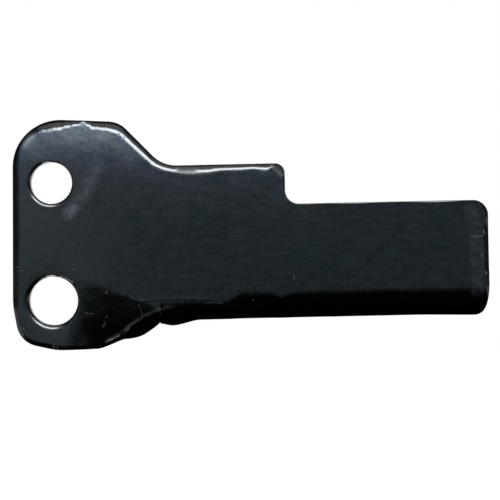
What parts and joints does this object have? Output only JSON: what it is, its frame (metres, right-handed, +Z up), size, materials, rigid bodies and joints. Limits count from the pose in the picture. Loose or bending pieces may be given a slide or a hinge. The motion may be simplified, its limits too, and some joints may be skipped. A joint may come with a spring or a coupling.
{
  "type": "frame rail support bracket",
  "caption": "Folded sheet steel bracket in gloss black: an ear that bolts to a frame, a stepped body and tongue, and a bent-back shelf along the bottom that carries a rail.",
  "frame": {"origin": "on the back face of the ear, midway between the two bolt holes", "axes": "+X along the bracket from the ear to the tongue's tip, +Y out of the back face towards the frame it bolts to, +Z up, away from the shelf"},
  "size_m": [0.1088, 0.02, 0.0526],
  "materials": {
    "black_paint": "gloss black paint over steel sheet, a little dusty, with small chips"
  },
  "bodies": {
    "root": {"support_bracket": "black_paint"}
  },
  "joints": []
}
